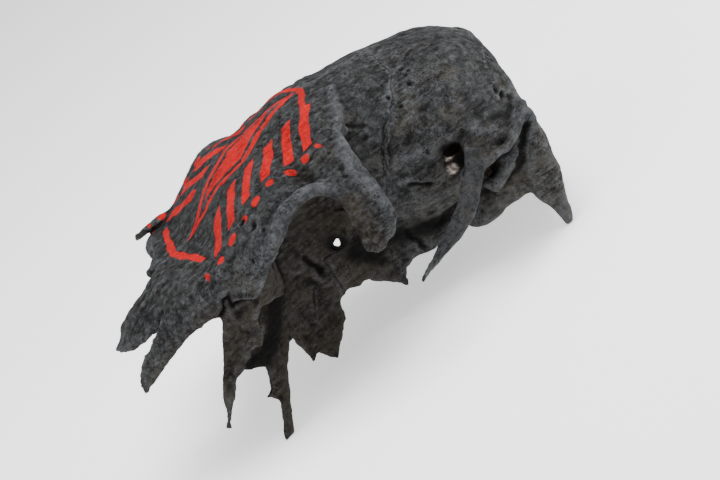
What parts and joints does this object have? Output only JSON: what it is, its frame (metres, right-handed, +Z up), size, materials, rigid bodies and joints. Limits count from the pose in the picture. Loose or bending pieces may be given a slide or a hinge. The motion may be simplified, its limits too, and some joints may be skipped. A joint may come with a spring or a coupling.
{
  "type": "elk skull cap",
  "caption": "Weathered, dark-stained skull cap of a cow elk: braincase, frontals and broken facial splinters, with the muzzle gone; lies upright.",
  "frame": {"origin": "middle of the bounding box at the level of the surface the skull lies on", "axes": "-Y towards the broken muzzle, +X to the animal's left, +Z up as the skull lies"},
  "size_m": [0.1576, 0.2166, 0.1114],
  "materials": {
    "bone": null
  },
  "bodies": {
    "root": {"lacrimal_left": "bone", "temporal_left": "bone", "lacrimal_right": "bone", "temporal_right": "bone", "occipital": "bone", "parietal": "bone", "sphenoid": "bone", "palatine_left": "bone", "palatine_right": "bone", "frontal_left": "bone", "frontal_right": "bone"}
  },
  "joints": []
}
